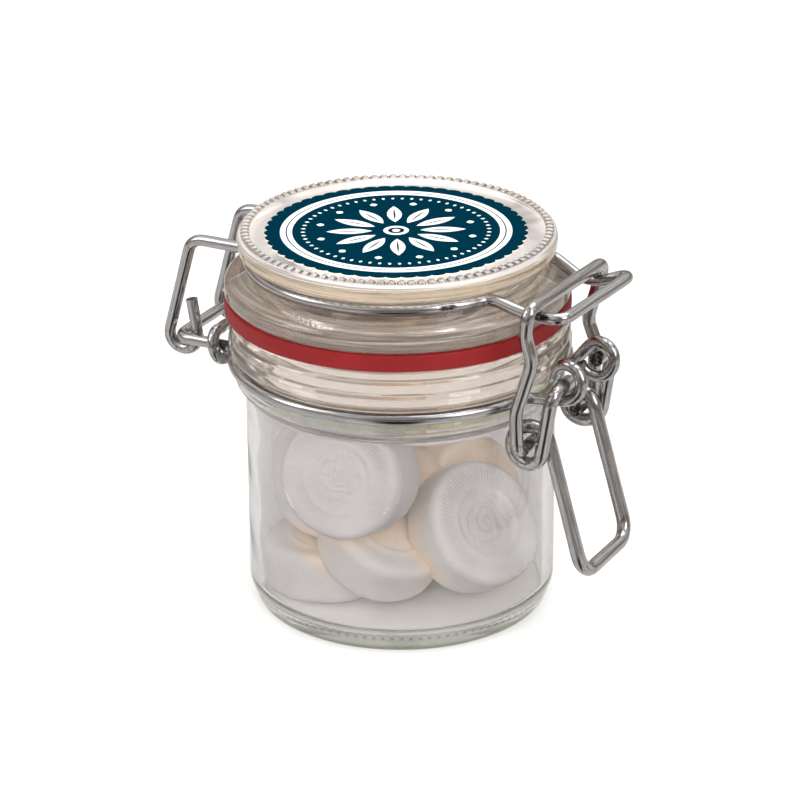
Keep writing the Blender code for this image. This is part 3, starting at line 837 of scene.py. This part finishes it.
def mint_places():
    """(place, direction of the flat faces) of each mint, in the jar's frame."""
    return [
        (polar(-90, 20.1, 33.0), facing(-90, 12)),
        (polar(-12, 17.5, 18.6), facing(-21, 32)),
        (polar(-79, 12.0, 16.3), facing(-17, 56)),
        (polar(-138, 14.7, 9.4), facing(-81, 88)),
        (polar(-139, 13.8, 26.5), facing(-95, 8)),
        (polar(134, 16.1, 17.3), facing(-68, 14)),
        (polar(59, 14.8, 16.6), facing(-21, 20)),
    ]


def mint_profile():
    """(radius, z) of half a mint's outline, from the middle of its face to its waist."""
    flat = [(MINT_RADIUS * MINT_FLAT * k / 20, MINT_HALF) for k in range(21)]
    edge = []
    for k in range(1, 11):
        angle = math.pi / 2 * k / 10
        out = MINT_RADIUS * (MINT_FLAT + (1 - MINT_FLAT) * math.sin(angle) ** 0.8)
        edge.append((out, MINT_HALF * (0.5 + 0.5 * math.cos(angle) ** 0.8)))
    waist = [(MINT_RADIUS, MINT_HALF * share) for share in (0.4, 0.25, 0.1)]
    return flat + edge + waist


def lump(spot):
    """The height in millimetres of the chalky lumps at a place in millimetres."""
    coarse = noise.noise(spot * 0.14) * 0.16
    middle = noise.noise(spot * 0.5) * 0.08
    fine = noise.noise(spot * 1.9) * 0.06
    pit = max(0.0, noise.noise(spot * 1.1 + Vector((0, 50, 0))) - 0.42) * 0.8
    return coarse + middle + fine - pit


def mint_grid(seed):
    """The points of one mint, with its ring, curl and chalky lumps."""
    half = np.array(mint_profile())
    outline = np.concatenate([half, (half * (1, -1))[::-1]])
    radius, height, angle = turned_grid(outline, MINT_STEPS)
    share = radius / MINT_RADIUS
    phase = random.Random(seed).uniform(0, 6.28)
    ring = window(share, *MINT_RING[:2]) * MINT_RING[2]
    moat = window(share, *MINT_MOAT[:2]) * MINT_MOAT[2]
    curl = np.clip(np.cos(angle - share * 7.0 - phase), 0, 1) ** 6
    curl = curl * window(share, *MINT_CURL[:2]) * MINT_CURL[2]
    dish = MINT_DISH * np.clip(1 - (share / 0.8) ** 8, 0, 1)
    relief = ring - moat + curl - dish
    face = np.where(np.abs(height) > MINT_HALF * 0.2, np.sign(height), 0)
    height = height + face * relief
    out_of_round = 1 + 0.012 * np.sin(2 * angle + phase) + 0.008 * np.sin(3 * angle + 2 * phase)
    radius = radius * out_of_round
    coords = np.stack([radius * np.cos(angle), radius * np.sin(angle), height], axis=-1)
    outward = np.stack([share * np.cos(angle), share * np.sin(angle), np.sign(height)], axis=-1)
    outward /= np.maximum(np.linalg.norm(outward, axis=-1), 1e-6)[..., None]
    apart = Vector((seed * 17.0, 0, 0))
    lumps = [lump(Vector(point) / MM + apart) for point in coords.reshape(-1, 3)]
    lumps = np.array(lumps).reshape(coords.shape[:2])
    return coords + outward * (lumps[..., None] - 0.12) * MM


def add_core(mesh):
    """Joins the core of the heap to the mints' mesh."""
    bm = bmesh.new()
    bm.from_mesh(mesh)
    core = bmesh.ops.create_icosphere(bm, subdivisions=5, radius=1.0)["verts"]
    # The core takes the painted warm shade of the mints at the back.
    painted_back_shade_layer = bm.verts.layers.float["painted_back_shade"]
    for vert in core:
        vert[painted_back_shade_layer] = 1.0
        direction = vert.co.copy()
        vert.co = Vector(a * b for a, b in zip(direction, CORE_SIZE)) + Vector((0, 0, CORE_Z))
        spot = vert.co / MM
        vert.co += direction * (noise.noise(spot * 0.3) * 0.5 + noise.noise(spot) * 0.12) * MM
    bm.to_mesh(mesh)
    bm.free()


def make_mints(sugar):
    """The mints that show, on a core for the hidden ones, as one piece.

    The disc attribute is the place on a mint in radii, and a second one is 1 on the two mints at the back
    and 0 elsewhere, for painted warm shade.
    """
    verts = []
    faces = []
    disc = []
    painted_back_shade = []
    places = mint_places()
    for number, (place, direction) in enumerate(places):
        coords = mint_grid(number + 1)
        points = coords.reshape(-1, 3)
        turned = direction.to_track_quat("Z", "Y").to_matrix()
        index = np.arange(len(points)).reshape(-1, MINT_STEPS) + len(verts)
        faces += quads_between(index).tolist()
        verts += (points @ np.array(turned).T + np.array(place)).tolist()
        disc += (points / MINT_RADIUS).tolist()
        painted_back_shade += [1.0 if number in BACK_SHADED_MINTS else 0.0] * len(points)
    mesh = bpy.data.meshes.new("mints_sugar")
    mesh.from_pydata(verts, [], faces)
    add_attribute(mesh, "disc", "FLOAT_VECTOR", disc)
    add_attribute(mesh, "painted_back_shade", "FLOAT", painted_back_shade)
    add_core(mesh)
    clean_mesh(mesh)
    add_painted_close_shade(mesh, places)
    add_piece("mints_sugar", mesh, sugar, "sugar", "mints")


def add_painted_close_shade(mesh, places):
    """Painted warm shade, as an attribute: near 1 where a point lies close to other mints or to the core.
    """
    coords = np.zeros(len(mesh.vertices) * 3)
    mesh.vertices.foreach_get("co", coords)
    coords = coords.reshape(-1, 3)
    total = np.zeros(len(coords))
    for place, direction in places:
        apart = coords - np.array(place)
        axial = apart @ np.array(direction)
        radial = np.linalg.norm(apart - np.outer(axial, np.array(direction)), axis=1)
        beyond = np.clip(np.abs(axial) - MINT_HALF, 0, None)
        outside = np.hypot(beyond, np.clip(radial - MINT_RADIUS, 0, None))
        total += np.exp(-outside / (2.4 * MM))
    from_core = (coords - np.array((0, 0, CORE_Z))) / np.array(CORE_SIZE)
    outside = np.clip(np.linalg.norm(from_core, axis=1) - 1, 0, None) * CORE_SIZE[0]
    total += np.exp(-outside / (4.5 * MM))
    add_attribute(mesh, "painted_close_shade", "FLOAT", np.clip(total - 1.0, 0, 1))


class Nodes:
    """Short calls that add shader nodes to one tree and link them."""

    def __init__(self, owner):
        owner.use_nodes = True
        self.tree = owner.node_tree

    def add(self, kind, **settings):
        made = self.tree.nodes.new("ShaderNode" + kind)
        for key, value in settings.items():
            setattr(made, key, value)
        return made

    def feed(self, socket, value):
        """Links value to the socket if it is a socket, and otherwise sets it."""
        if isinstance(value, bpy.types.NodeSocket):
            self.tree.links.new(value, socket)
        else:
            socket.default_value = value

    def fill(self, node, **values):
        """Feeds a node's inputs by name, with _ for a space."""
        for key, value in values.items():
            self.feed(node.inputs[key.replace("_", " ")], value)

    def math(self, operation, first, second=0.0, clamp=False):
        made = self.add("Math", operation=operation, use_clamp=clamp)
        self.feed(made.inputs[0], first)
        self.feed(made.inputs[1], second)
        return made.outputs[0]

    def times(self, first, second):
        return self.math("MULTIPLY", first, second)

    def vector(self, operation, *values, output="Vector"):
        made = self.add("VectorMath", operation=operation)
        for socket, value in zip(made.inputs, values):
            self.feed(socket, value)
        return made.outputs[output]

    def scaled_colour(self, colour, share):
        made = self.add("VectorMath", operation="SCALE")
        self.fill(made, Vector=colour, Scale=share)
        return made.outputs["Vector"]

    def axes(self, vector):
        made = self.add("SeparateXYZ")
        self.fill(made, Vector=vector)
        return made.outputs["X"], made.outputs["Y"], made.outputs["Z"]

    def length(self, x, y):
        return self.math("SQRT", self.math("ADD", self.times(x, x), self.times(y, y)))

    def noise(self, vector, scale, detail=4.0, rough=0.5):
        made = self.add("TexNoise")
        self.fill(made, Vector=vector, Scale=scale, Detail=detail, Roughness=rough)
        return made.outputs["Fac"]

    def scaled(self, vector, scale):
        made = self.add("Mapping")
        self.fill(made, Vector=vector, Scale=scale)
        return made.outputs["Vector"]

    def range(self, value, low, high, to_low=0, to_high=1, kind="LINEAR"):
        made = self.add("MapRange", interpolation_type=kind)
        self.fill(made, Value=value, From_Min=low, From_Max=high, To_Min=to_low, To_Max=to_high)
        return made.outputs["Result"]

    def mix(self, factor, first, second):
        made = self.add("Mix", data_type="RGBA")
        self.feed(made.inputs["Factor"], factor)
        for name, colour in (("A", first), ("B", second)):
            is_socket = isinstance(colour, bpy.types.NodeSocket)
            self.feed(made.inputs[name], colour if is_socket else (*colour, 1))
        return made.outputs["Result"]

    def ramp(self, value, stops):
        """A colour ramp with (place, colour) stops."""
        made = self.add("ValToRGB")
        self.feed(made.inputs[0], value)
        elements = made.color_ramp.elements
        while len(elements) < len(stops):
            elements.new(0.5)
        for element, (place, colour) in zip(elements, stops):
            element.position = place
            element.color = (*colour, 1)
        return made.outputs["Color"]


class Finish(Nodes):
    """The nodes of a new material, round its Principled shader."""

    def __init__(self, name):
        self.material = bpy.data.materials.new(name)
        super().__init__(self.material)
        self.shader = self.tree.nodes["Principled BSDF"]
        self.output = self.tree.nodes["Material Output"]

    def position(self):
        return self.add("TexCoord").outputs["Object"]

    def attribute(self, name, output="Fac"):
        return self.add("Attribute", attribute_name=name).outputs[output]

    def bump(self, height, strength, distance):
        made = self.add("Bump")
        self.fill(made, Strength=strength, Distance=distance, Height=height)
        self.set(Normal=made.outputs["Normal"])

    def set(self, **values):
        self.fill(self.shader, **values)


def by_height(n, height, bands):
    """The glass's tint and clearness at a height, from its bands."""
    low = bands[0][0]
    high = bands[-1][1]
    tints = []
    clearness = []
    for bottom, top, tint, clear in bands:
        for z in (bottom, top):
            place = (z - low) / (high - low)
            tints.append((place, tint))
            clearness.append((place, (clear, clear, clear)))
    share = n.range(height, low, high)
    return n.ramp(share, tints), n.ramp(share, clearness)


def between_beads(n, x, y, z, radius, count, lowest, highest):
    """1 in the grooves between beads, and 0 on the beads and elsewhere."""
    turn = n.times(n.math("ARCTAN2", y, x), count / 2)
    groove = n.range(n.math("ABSOLUTE", n.math("SINE", turn)), 0.3, 0.75, 1, 0)
    away = n.math("ABSOLUTE", n.math("SUBTRACT", z, (lowest + highest) / 2))
    half = (highest - lowest) / 2
    level = n.range(away, half, half + 0.1 * MM, 1, 0)
    outside = n.range(radius, GROOVE_INSIDE, GROOVE_INSIDE + 0.5 * MM)
    return n.times(groove, n.times(level, outside))


def make_glass(name, bands, grooves, roughness, density, streaks, haze=None, centre_x=0.0):
    """Glass with its bands, some of them with painted light, fine level streaks, and grooves darkened
    with painted shade. Lamps shine through it.
    """
    n = Finish(name)
    x, y, z = n.axes(n.position())
    x = n.math("SUBTRACT", x, centre_x)
    radius = n.length(x, y)
    tint, clear = by_height(n, z, bands)
    lines = n.noise(n.scaled(n.position(), (1.0, 1.0, 80.0)), 40, 3, 0.6)
    colour = n.mix(n.range(lines, 0.46, 0.58), tint, n.scaled_colour(tint, 1 - streaks))
    if haze:
        haze_radius, haze_top = haze
        outside = n.range(radius, haze_radius, haze_radius + 1 * MM, 0, 0.88)
        low_down = n.range(z, haze_top, haze_top + 1 * MM, 1, 0)
        clear = n.math("MAXIMUM", clear, n.times(outside, low_down))
    # Painted shade in the grooves between the beads.
    *beads, dark = grooves
    colour = n.mix(between_beads(n, x, y, z, radius, *beads), colour, dark)
    n.set(Base_Color=colour, Roughness=roughness, IOR=1.5, Transmission_Weight=clear)
    for_lamps = n.add("BsdfTransparent")
    n.fill(for_lamps, Color=(*LAMP_TINT, 1))
    mixed = n.add("MixShader")
    n.feed(mixed.inputs[0], n.add("LightPath").outputs["Is Shadow Ray"])
    n.feed(mixed.inputs[1], n.shader.outputs[0])
    n.feed(mixed.inputs[2], for_lamps.outputs[0])
    depth = n.add("VolumeAbsorption")
    n.fill(depth, Color=(*THICK_TINT, 1), Density=density)
    n.fill(n.output, Surface=mixed.outputs[0], Volume=depth.outputs[0])
    return n.material


def make_rubber():
    """Matt red rubber with a fine dusty grain."""
    n = Finish("rubber")
    place = n.position()
    cloud = n.noise(place, 60, 3)
    grain = n.noise(place, 2600, 5, 0.7)
    colour = n.mix(n.range(cloud, 0.3, 0.7), (0.15, 0.005, 0.006), (0.21, 0.008, 0.009))
    colour = n.mix(n.range(grain, 0.62, 0.8, 0, 0.5), colour, (0.5, 0.08, 0.07))
    n.set(
        Base_Color=colour,
        Roughness=n.range(grain, 0.3, 0.7, 0.45, 0.62),
        Specular_IOR_Level=0.25,
    )
    n.bump(grain, 0.25, 0.0002)
    return n.material


def make_steel():
    """Drawn wire: fine streaks along it, and dull dark spots where it is worn."""
    n = Finish("steel")
    flow = n.attribute("flow", "Vector")
    worn = n.attribute("worn")
    bent = n.attribute("bent")
    streaks = n.noise(n.scaled(flow, (6.0, 6.0, 0.35)), 1.0, 5, 0.6)
    fine = n.noise(n.scaled(flow, (22.0, 22.0, 1.2)), 1.0, 4, 0.6)
    specks = n.noise(n.position(), 1400, 3, 0.6)
    tone = n.mix(n.range(streaks, 0.38, 0.62), (0.36, 0.355, 0.36), (0.6, 0.59, 0.595))
    tone = n.mix(n.range(fine, 0.48, 0.7, 0, 0.5), tone, (0.78, 0.77, 0.77))
    rub = n.times(n.range(bent, 0.2, 0.9, 0, 0.7), n.range(specks, 0.5, 0.62))
    tone = n.mix(rub, tone, (0.2, 0.19, 0.19))
    scuffed = n.times(worn, n.range(specks, 0.36, 0.5, 0.35, 1))
    tone = n.mix(scuffed, tone, (0.035, 0.035, 0.038))
    rough = n.math("ADD", n.range(streaks, 0.3, 0.7, 0.1, 0.18), n.times(worn, 0.2))
    n.set(Base_Color=tone, Roughness=rough, Metallic=1.0)
    height = n.math("ADD", fine, n.times(specks, n.range(bent, 0.1, 0.9, 0.2, 1.2)))
    n.bump(height, 0.08, 0.0002)
    return n.material


def make_paper():
    """A dark teal label with a double white ring and a wheel of leaves and dots.

    The print is drawn in print units from the label's centre.
    """
    n = Finish("paper")
    x, y, _ = n.axes(n.position())
    x = n.math("DIVIDE", n.math("SUBTRACT", x, LABEL_CENTRE[0]), PRINT_UNIT)
    y = n.math("DIVIDE", n.math("SUBTRACT", y, LABEL_CENTRE[1]), PRINT_UNIT)
    distance = n.length(x, y)
    angle = n.math("ARCTAN2", y, x)

    def band(centre, half):
        """1 within half of the centre distance, with soft edges."""
        away = n.math("ABSOLUTE", n.math("SUBTRACT", distance, centre))
        return n.range(away, half - 0.05, half + 0.05, 1, 0)

    def petals(count, centre, half_long, half_wide, turn=0.0):
        """Leaf shapes round the middle, each along a radius."""
        sector = 2 * math.pi / count
        around = n.math("PINGPONG", n.math("ADD", angle, turn + 4 * math.pi), sector / 2)
        sideways = n.times(around, distance)
        forward = n.math("DIVIDE", n.math("SUBTRACT", distance, centre), half_long)
        room = n.math("SUBTRACT", 1.0, n.times(forward, forward))
        edge = n.times(room, half_wide)
        return n.range(n.math("SUBTRACT", edge, sideways), -0.04, 0.06)

    white = band(22.65, 0.55)
    for mark in (
        band(21.3, 0.5),
        petals(12, 9.4, 4.6, 1.5),
        petals(12, 15.6, 0.8, 0.75, math.pi / 12),
        petals(60, 18.6, 0.5, 0.32),
        band(2.1, 0.45),
        n.range(distance, 0.75, 0.85, 1, 0),
    ):
        white = n.math("MAXIMUM", white, mark)
    white = n.math("SUBTRACT", white, petals(12, 9.2, 3.4, 0.22), clamp=True)
    grain = n.noise(n.position(), 900, 4, 0.6)
    teal = n.mix(n.range(grain, 0.3, 0.7), (0.0, 0.0203, 0.038), (0.0004, 0.0255, 0.0455))
    n.set(
        Base_Color=n.mix(white, teal, (0.88, 0.88, 0.87)),
        Roughness=n.range(grain, 0.3, 0.7, 0.45, 0.55),
        Specular_IOR_Level=0.0,
    )
    n.bump(grain, 0.06, 0.0001)
    return n.material


def make_paper_back():
    """The bare pale yellow underside of the label, which shows through the lid's edge."""
    n = Finish("paper_back")
    grain = n.noise(n.position(), 700, 5, 0.65)
    colour = n.mix(n.range(grain, 0.3, 0.7), (0.84, 0.75, 0.62), (0.92, 0.85, 0.74))
    n.set(Base_Color=colour, Roughness=0.8)
    n.bump(grain, 0.1, 0.0001)
    return n.material


def make_sugar():
    """Chalky pressed sugar with crimps and a curl, with painted shade: in the crimps, and warm where
    mints lie close.
    """
    n = Finish("sugar")
    place = n.position()
    x, y, _ = n.axes(n.attribute("disc", "Vector"))
    share = n.length(x, y)
    angle = n.math("ARCTAN2", y, x)
    wobble = n.noise(place, 260, 3)
    away = n.math("ABSOLUTE", n.math("SUBTRACT", share, 0.76))
    upper = n.range(y, 0.1, 0.6)
    at_crimps = n.times(n.range(away, 0.06, 0.14, 1, 0), upper)
    lines = n.math("SINE", n.math("ADD", n.times(angle, 86.0), n.times(wobble, 5.0)))
    crimps = n.times(n.range(lines, -0.2, 0.9), at_crimps)
    turns = n.math("ADD", n.times(share, 52.0), n.times(wobble, 16.0))
    spiral = n.range(n.math("SINE", n.math("ADD", turns, angle)), 0.3, 0.95)
    spiral = n.times(spiral, n.range(share, 0.36, 0.48, 1, 0))
    patches = n.range(n.noise(place, 170, 2), 0.42, 0.62, 0.1, 0.6)
    grooves = n.math("MAXIMUM", n.times(crimps, 0.6), n.times(spiral, patches))
    cloud = n.noise(place, 110, 3)
    chalk = n.noise(place, 1500, 6, 0.7)
    painted_close_shade = n.attribute("painted_close_shade")
    tone = n.mix(n.range(cloud, 0.35, 0.65), (0.62, 0.605, 0.61), (0.69, 0.68, 0.675))
    # The crimps and the curl are darkened with painted shade.
    tone = n.mix(n.times(grooves, 0.45), tone, (0.42, 0.405, 0.41))
    # Painted warm shade: tan on the two mints at the back and on the core, standing in for the shade at
    # the back of the heap.
    painted_back_shade_share = n.times(n.attribute("painted_back_shade"), n.range(cloud, 0.3, 0.6, 1, 0.6))
    tone = n.mix(painted_back_shade_share, tone, (0.88, 0.69, 0.51))
    # Painted warm shade where mints lie close to each other and to the core.
    tone = n.mix(n.range(painted_close_shade, 0.25, 0.95, 0, 0.85), tone, (0.84, 0.69, 0.53))
    n.set(
        Base_Color=tone,
        Roughness=n.range(chalk, 0.3, 0.7, 0.7, 0.9),
        Subsurface_Weight=0.2,
        Subsurface_Radius=(1.0, 0.72, 0.5),
        Subsurface_Scale=0.003,
    )
    height = n.math("SUBTRACT", n.math("ADD", chalk, n.noise(place, 420, 3)), grooves)
    n.bump(height, 0.6, 0.0003)
    return n.material


def make_floor():
    n = Finish("floor")
    n.set(Base_Color=(0.84, 0.84, 0.84, 1), Roughness=0.85)
    mesh = bpy.data.meshes.new("floor")
    last = 2 * math.pi * (FLOOR_SIDES - 1) / FLOOR_SIDES
    rim = arc_points((0, 0), FLOOR_RADIUS, 0, last, FLOOR_SIDES - 1)
    mesh.from_pydata([(x, y, FLOOR_Z) for x, y in rim], [], [list(range(FLOOR_SIDES))])
    floor = new_object("floor", mesh, n.material)
    floor.visible_glossy = False


def make_world():
    """A bright studio with a warm dull horizon, and a dark strip in front, for the wires.

    The strip is darkest well below the horizon, where upright wires reflect it.
    """
    world = bpy.data.worlds.new("studio")
    bpy.context.scene.world = world
    n = Nodes(world)
    ray = n.add("TexCoord").outputs["Generated"]
    rise = n.axes(ray)[2]
    glow = n.ramp(n.range(rise, -1, 1), SKY)
    heading = n.vector("NORMALIZE", n.vector("MULTIPLY", ray, (1, 1, 0)))
    towards = n.vector("DOT_PRODUCT", heading, DARK_SIDE, output="Value")
    strip = n.range(towards, 0.88, 0.985, 1.0, 0.03, "SMOOTHSTEP")
    least = n.range(rise, -0.36, -0.2, 0.0, 0.55)
    light = n.scaled_colour(glow, n.math("MAXIMUM", strip, least))
    n.fill(n.tree.nodes["Background"], Color=light, Strength=SKY_STRENGTH)


def add_light(name, place, size, power, reflected=True):
    """A soft lamp that points at the jar."""
    data = bpy.data.lights.new(name, "AREA")
    data.shape = "RECTANGLE"
    data.size, data.size_y = size
    data.energy = power
    obj = bpy.data.objects.new(name, data)
    bpy.context.scene.collection.objects.link(obj)
    obj.location = place
    obj.rotation_mode = "QUATERNION"
    obj.rotation_quaternion = (Vector(place) - LIGHT_TARGET).to_track_quat("Z", "Y")
    obj.visible_glossy = reflected
    obj.visible_transmission = reflected


def make_lights():
    add_light("light_left", (-0.9, -0.7, 0.9), (0.5, 0.9), 4.5)
    add_light("light_right", (1.0, -0.3, 0.8), (0.4, 0.8), 4)
    add_light("light_top", (0.1, 0.3, 1.3), (0.9, 0.9), 7)
    add_light("light_fill", (0.4, -0.9, 0.5), (0.9, 0.4), 12.5, reflected=False)
    add_light("light_back", (-0.5, 0.9, 0.5), (0.9, 0.4), 3.5, reflected=False)


def make_camera():
    """A camera at the photograph's viewing angle."""
    data = bpy.data.cameras.new("camera")
    data.sensor_width = SENSOR
    data.lens = FOCAL_PIXELS / PICTURE * SENSOR
    data.clip_start = 0.01
    data.shift_x = (PICTURE / 2 - CENTRE_PIXEL[0]) / PICTURE
    data.shift_y = (CENTRE_PIXEL[1] - PICTURE / 2) / PICTURE
    obj = bpy.data.objects.new("camera", data)
    bpy.context.scene.collection.objects.link(obj)
    away = Vector((
        math.sin(CAMERA_HEADING) * math.cos(CAMERA_RISE),
        -math.cos(CAMERA_HEADING) * math.cos(CAMERA_RISE),
        math.sin(CAMERA_RISE),
    ))
    obj.location = CAMERA_TARGET + away * CAMERA_DISTANCE
    obj.rotation_mode = "QUATERNION"
    turned = (-away).to_track_quat("-Z", "Y")
    obj.rotation_quaternion = turned @ Quaternion((0, 0, 1), CAMERA_ROLL)
    bpy.context.scene.camera = obj


def set_view():
    """True colours, and enough bounces for glass in front of glass."""
    scene = bpy.context.scene
    scene.view_settings.view_transform = "Standard"
    scene.cycles.max_bounces = 24
    scene.cycles.transmission_bounces = 20
    scene.cycles.transparent_max_bounces = 24


def main():
    for obj in list(bpy.data.objects):
        bpy.data.objects.remove(obj, do_unlink=True)
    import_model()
    make_camera()
    make_world()
    make_lights()
    make_floor()
    set_view()
    make_jar(make_glass("glass_jar", JAR_BANDS, HEEL_GROOVES, 0.02, 8.0, 0.03, haze=JAR_HAZE))
    make_lid(make_glass("glass_lid", LID_BANDS, LID_GROOVES, 0.05, 4.0, 0.5, centre_x=LID_SHIFT))
    make_seal(make_rubber())
    make_label(make_paper(), make_paper_back())
    make_wires(make_steel())
    make_mints(make_sugar())


main()
